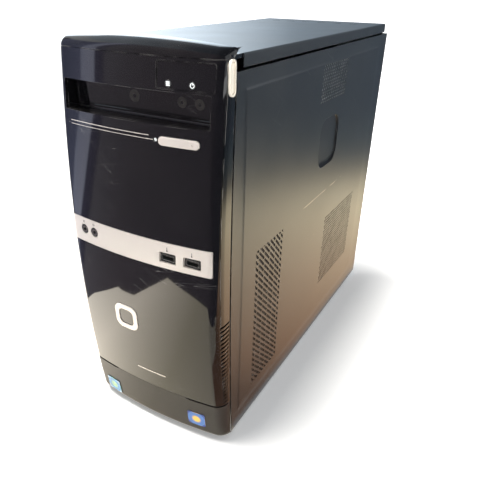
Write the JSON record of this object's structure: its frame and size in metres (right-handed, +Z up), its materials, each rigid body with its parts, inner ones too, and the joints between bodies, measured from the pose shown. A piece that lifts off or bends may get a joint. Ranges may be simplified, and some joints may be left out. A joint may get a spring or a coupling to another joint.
{
  "type": "desktop computer tower",
  "caption": "Micro-tower office computer with bowed gloss front, disc tray, port band, sliding access panel and working parts inside.",
  "frame": {"origin": "on the ground under the middle of the whole machine, at the height of the feet's undersides", "axes": "+Z up, -Y out of the front, +X out of the access side"},
  "size_m": [0.165, 0.429, 0.3805],
  "materials": {
    "bezel_satin": "satin moulded plastic",
    "gloss_black": "high gloss",
    "silver_band": "satin silver paint",
    "chrome_trim": "bright plated",
    "lens_white": "clear lens",
    "black_plastic": "fine matt",
    "label_print": "laminated print",
    "case_paint": "satin metallic paint",
    "bare_steel": "zinc plated",
    "foot_rubber": "matt",
    "board_green": "solder resist",
    "cast_alloy": "satin",
    "red_plastic": "matt"
  },
  "bodies": {
    "case": {"front_bezel": "bezel_satin", "gloss_front": "gloss_black", "port_band": "silver_band", "status_window": "gloss_black", "disk_led": "lens_white", "power_led": "lens_white", "eject_led": "lens_white", "power_button_frame": "chrome_trim", "usb_port_left": "black_plastic", "usb_port_right": "black_plastic", "microphone_jack": "black_plastic", "headphone_jack": "black_plastic", "port_board": "board_green", "label_left": "label_print", "label_right": "label_print", "top_cover": "case_paint", "left_cover": "case_paint", "chassis_base": "bare_steel", "chassis_front": "bare_steel", "chassis_rear": "bare_steel", "slot_cover_1": "bare_steel", "slot_cover_2": "bare_steel", "slot_cover_3": "bare_steel", "slot_cover_4": "bare_steel", "foot_1": "foot_rubber", "foot_2": "foot_rubber", "foot_3": "foot_rubber", "foot_4": "foot_rubber", "drive_cage": "bare_steel", "optical_drive": "bare_steel", "hard_drive": "cast_alloy", "rear_fan_frame": "black_plastic", "psu_case": "bare_steel", "mains_inlet": "black_plastic", "board_tray": "bare_steel", "mainboard": "board_green", "heatsink": "cast_alloy", "cpu_fan_frame": "black_plastic", "memory_module_1": "board_green", "memory_module_2": "board_green", "card_slot": "black_plastic", "io_shield": "bare_steel", "keyboard_ports": "black_plastic", "video_port": "bare_steel", "network_block": "bare_steel", "audio_block": "black_plastic", "power_plug": "black_plastic", "power_cable": "black_plastic", "data_cable": "red_plastic"},
    "power_button": {"power_button": "chrome_trim"},
    "eject_button": {"eject_button": "silver_band"},
    "disc_tray": {"disc_tray": "black_plastic", "tray_front": "gloss_black"},
    "access_panel": {"access_panel": "case_paint"},
    "thumbscrew_lower": {"thumbscrew_lower": "bare_steel"},
    "thumbscrew_upper": {"thumbscrew_upper": "bare_steel"},
    "cpu_fan": {"cpu_fan": "black_plastic"},
    "rear_fan": {"rear_fan": "black_plastic"},
    "psu_fan": {"psu_fan": "black_plastic"},
    "voltage_switch": {"voltage_switch": "red_plastic"}
  },
  "joints": [
    {"name": "power_button_press", "type": "slide", "parent": "case", "child": "power_button", "axis": [-1, 0, 0], "range_m": [0, 0.0015], "stiffness_N_per_m": 600, "springref_m": -0.001},
    {"name": "eject_button_press", "type": "slide", "parent": "case", "child": "eject_button", "axis": [0, 1, 0], "range_m": [0, 0.002], "stiffness_N_per_m": 500, "springref_m": -0.001},
    {"name": "disc_tray_slide", "type": "slide", "parent": "case", "child": "disc_tray", "axis": [0, -1, 0], "range_m": [0, 0.125]},
    {"name": "access_panel_slide", "type": "slide", "parent": "case", "child": "access_panel", "axis": [0, 1, 0], "range_m": [0, 0.02]},
    {"name": "thumbscrew_lower_turn", "type": "hinge", "parent": "access_panel", "child": "thumbscrew_lower", "pos_m": [0.075, 0.1965, 0.034], "axis": [0, 1, 0], "continuous": true},
    {"name": "thumbscrew_upper_turn", "type": "hinge", "parent": "access_panel", "child": "thumbscrew_upper", "pos_m": [0.075, 0.1965, 0.344], "axis": [0, 1, 0], "continuous": true},
    {"name": "cpu_fan_spin", "type": "hinge", "parent": "case", "child": "cpu_fan", "pos_m": [-0.02, 0.1045, 0.106], "axis": [1, 0, 0], "continuous": true},
    {"name": "rear_fan_spin", "type": "hinge", "parent": "case", "child": "rear_fan", "pos_m": [0.031, 0.1765, 0.106], "axis": [0, 1, 0], "continuous": true},
    {"name": "psu_fan_spin", "type": "hinge", "parent": "case", "child": "psu_fan", "pos_m": [0.02, 0.1815, 0.323], "axis": [0, 1, 0], "continuous": true},
    {"name": "voltage_switch_slide", "type": "slide", "parent": "case", "child": "voltage_switch", "axis": [1, 0, 0], "range_m": [0, 0.0075]}
  ]
}
